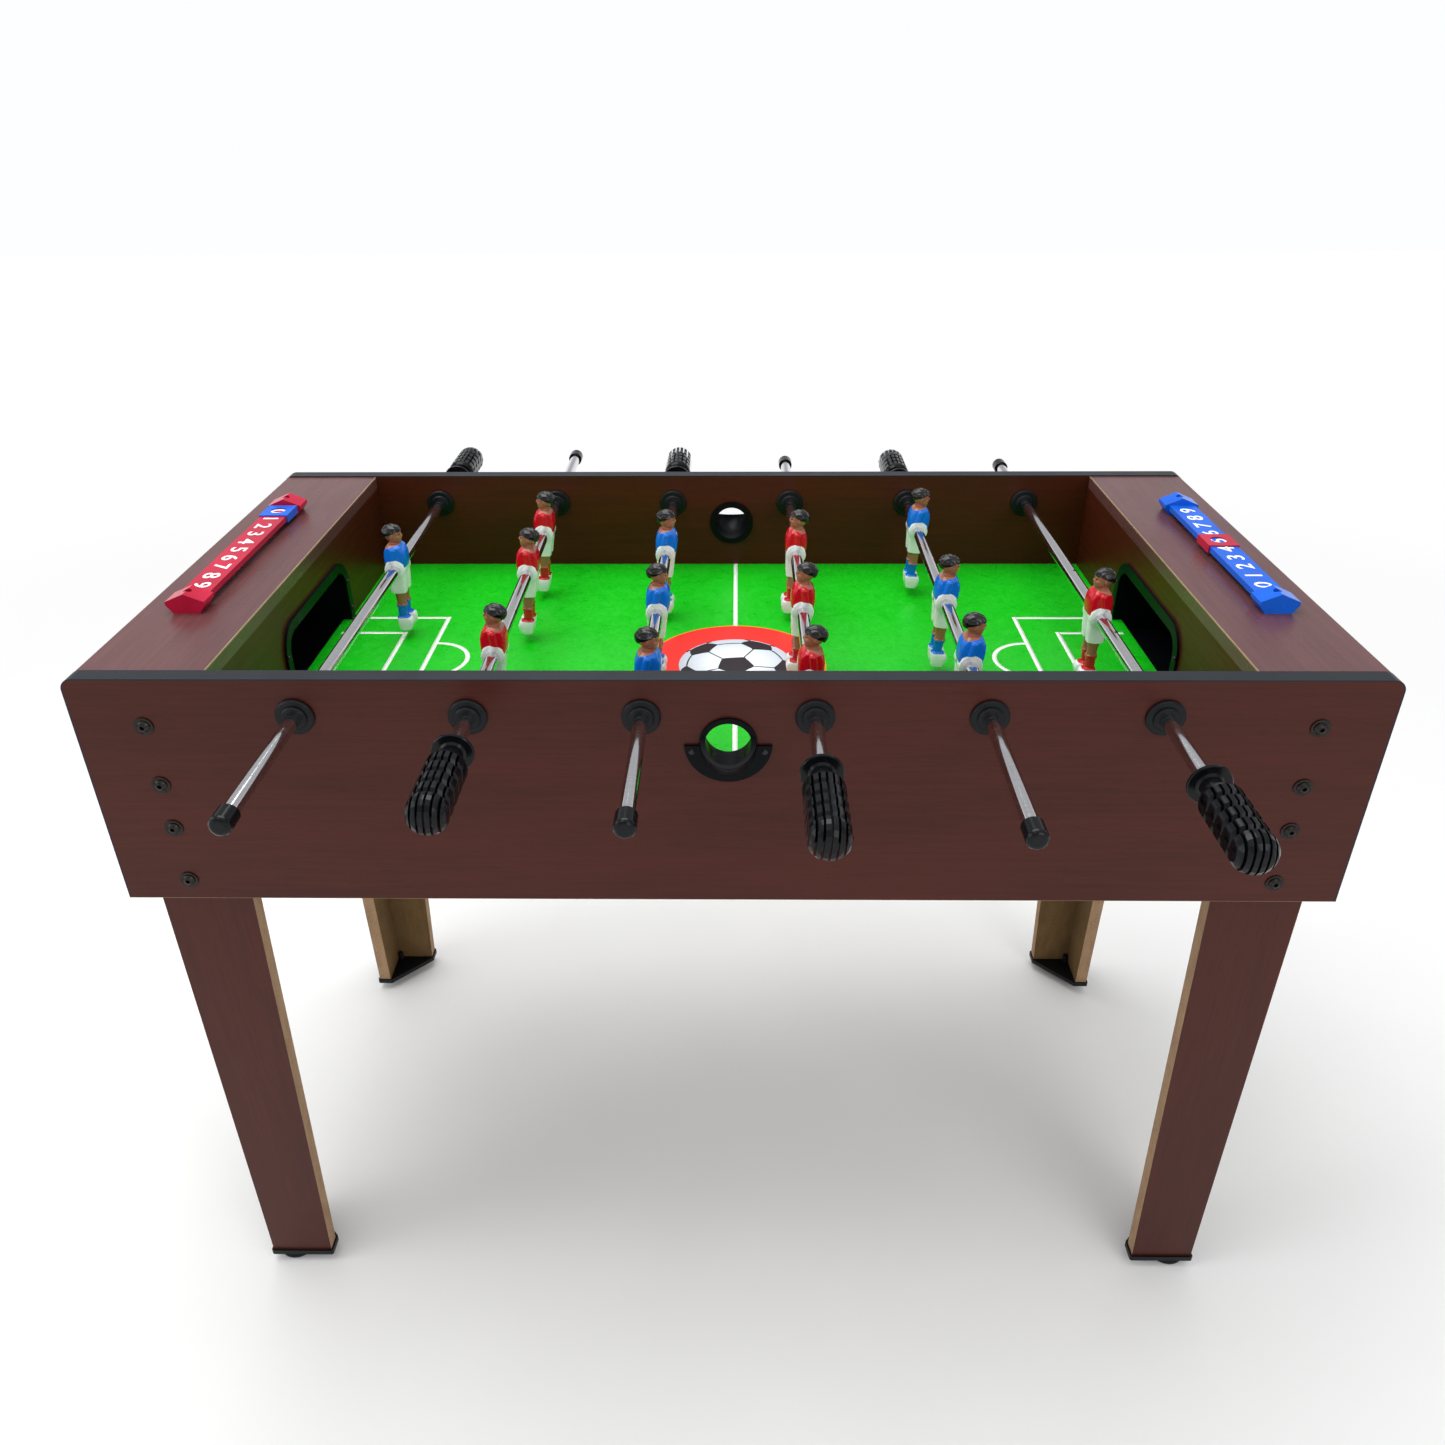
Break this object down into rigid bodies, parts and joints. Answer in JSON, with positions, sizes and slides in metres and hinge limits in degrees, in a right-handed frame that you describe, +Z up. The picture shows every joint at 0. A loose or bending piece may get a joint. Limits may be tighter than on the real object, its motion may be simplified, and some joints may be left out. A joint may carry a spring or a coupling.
{
  "type": "foosball table",
  "caption": "Free-standing foosball table: player rods that slide and spin across a walled pitch, goal pockets, ball scoops, sliding scorers, and legs with levelling feet.",
  "frame": {"origin": "on the floor under the middle of the table", "axes": "+X along the table from the left goal to the right one, +Y across it from the front to the back, +Z up"},
  "size_m": [1.215, 1.034, 0.8745],
  "materials": {
    "laminate": "satin wood-grain laminate",
    "ledge_laminate": "satin",
    "raw_board": "raw fibreboard",
    "field_green": "gloss printed",
    "black_trim": "satin",
    "black_gloss": "glossy",
    "black_moulded": "satin",
    "rod_chrome": "polished",
    "bolt_steel": "black oxide",
    "bright_screw": "bright zinc",
    "foot_rubber": "matt",
    "scorer_crimson": "glossy",
    "scorer_blue": "glossy",
    "team_blue": "glossy",
    "team_red": "glossy"
  },
  "bodies": {
    "cabinet": {"side_panel_front": "laminate", "side_panel_back": "laminate", "side_trims": "black_trim", "end_panel_left": "laminate", "end_panel_right": "laminate", "end_ledge_left": "ledge_laminate", "end_ledge_right": "ledge_laminate", "goal_wall_left": "laminate", "goal_wall_right": "laminate", "goal_left": "black_gloss", "goal_right": "black_gloss", "playing_field": "field_green", "pitch_cleats": "raw_board", "rod_bushings": "black_gloss", "ball_entries": "black_gloss", "small_screws": "bright_screw", "cabinet_bolts": "bolt_steel", "leg_caps": "black_moulded", "scorer_bar_left": "scorer_crimson", "scorer_bar_right": "scorer_blue", "leg_front_left": "laminate", "leg_front_right": "laminate", "leg_back_left": "laminate", "leg_back_right": "laminate"},
    "cap_1": {"end_cap_1": "black_gloss"},
    "rod_1": {"rod_1": "rod_chrome", "handle_1": "black_gloss", "players_1": "team_blue", "player_screws_1": "bright_screw"},
    "cap_2": {"end_cap_2": "black_gloss"},
    "rod_2": {"rod_2": "rod_chrome", "handle_2": "black_gloss", "players_2": "team_red", "player_screws_2": "bright_screw"},
    "cap_3": {"end_cap_3": "black_gloss"},
    "rod_3": {"rod_3": "rod_chrome", "handle_3": "black_gloss", "players_3": "team_blue", "player_screws_3": "bright_screw"},
    "cap_4": {"end_cap_4": "black_gloss"},
    "rod_4": {"rod_4": "rod_chrome", "handle_4": "black_gloss", "players_4": "team_red", "player_screws_4": "bright_screw"},
    "cap_5": {"end_cap_5": "black_gloss"},
    "rod_5": {"rod_5": "rod_chrome", "handle_5": "black_gloss", "players_5": "team_blue", "player_screws_5": "bright_screw"},
    "cap_6": {"end_cap_6": "black_gloss"},
    "rod_6": {"rod_6": "rod_chrome", "handle_6": "black_gloss", "players_6": "team_red", "player_screws_6": "bright_screw"},
    "slider_left": {"scorer_slider_left": "scorer_blue"},
    "slider_right": {"scorer_slider_right": "scorer_crimson"},
    "foot_front_left": {"foot_front_left": "foot_rubber"},
    "foot_front_right": {"foot_front_right": "foot_rubber"},
    "foot_back_left": {"foot_back_left": "foot_rubber"},
    "foot_back_right": {"foot_back_right": "foot_rubber"}
  },
  "joints": [
    {"name": "rod_1_slide", "type": "slide", "parent": "cabinet", "child": "cap_1", "axis": [0, 1, 0], "range_m": [-0.0805, 0.149]},
    {"name": "rod_1_spin", "type": "hinge", "parent": "cap_1", "child": "rod_1", "pos_m": [-0.398, 0, 0.817], "axis": [0, 1, 0], "continuous": true},
    {"name": "rod_2_slide", "type": "slide", "parent": "cabinet", "child": "cap_2", "axis": [0, 1, 0], "range_m": [-0.0926, 0.0545]},
    {"name": "rod_2_spin", "type": "hinge", "parent": "cap_2", "child": "rod_2", "pos_m": [-0.2388, 0, 0.817], "axis": [0, 1, 0], "continuous": true},
    {"name": "rod_3_slide", "type": "slide", "parent": "cabinet", "child": "cap_3", "axis": [0, 1, 0], "range_m": [-0.0366, 0.151]},
    {"name": "rod_3_spin", "type": "hinge", "parent": "cap_3", "child": "rod_3", "pos_m": [-0.0796, 0, 0.817], "axis": [0, 1, 0], "continuous": true},
    {"name": "rod_4_slide", "type": "slide", "parent": "cabinet", "child": "cap_4", "axis": [0, 1, 0], "range_m": [-0.0415, 0.0865]},
    {"name": "rod_4_spin", "type": "hinge", "parent": "cap_4", "child": "rod_4", "pos_m": [0.0796, 0, 0.817], "axis": [0, 1, 0], "continuous": true},
    {"name": "rod_5_slide", "type": "slide", "parent": "cabinet", "child": "cap_5", "axis": [0, 1, 0], "range_m": [-0.0655, 0.0745]},
    {"name": "rod_5_spin", "type": "hinge", "parent": "cap_5", "child": "rod_5", "pos_m": [0.2388, 0, 0.817], "axis": [0, 1, 0], "continuous": true},
    {"name": "rod_6_slide", "type": "slide", "parent": "cabinet", "child": "cap_6", "axis": [0, 1, 0], "range_m": [-0.127, 0.1025]},
    {"name": "rod_6_spin", "type": "hinge", "parent": "cap_6", "child": "rod_6", "pos_m": [0.398, 0, 0.817], "axis": [0, 1, 0], "continuous": true},
    {"name": "score_left", "type": "slide", "parent": "cabinet", "child": "slider_left", "axis": [0, -1, 0], "range_m": [0, 0.2277]},
    {"name": "score_right", "type": "slide", "parent": "cabinet", "child": "slider_right", "axis": [0, 1, 0], "range_m": [-0.1265, 0.1012]},
    {"name": "level_front_left", "type": "slide", "parent": "cabinet", "child": "foot_front_left", "axis": [0, 0, -1], "range_m": [0, 0.012]},
    {"name": "level_front_right", "type": "slide", "parent": "cabinet", "child": "foot_front_right", "axis": [0, 0, -1], "range_m": [0, 0.012]},
    {"name": "level_back_left", "type": "slide", "parent": "cabinet", "child": "foot_back_left", "axis": [0, 0, -1], "range_m": [0, 0.012]},
    {"name": "level_back_right", "type": "slide", "parent": "cabinet", "child": "foot_back_right", "axis": [0, 0, -1], "range_m": [0, 0.012]}
  ]
}
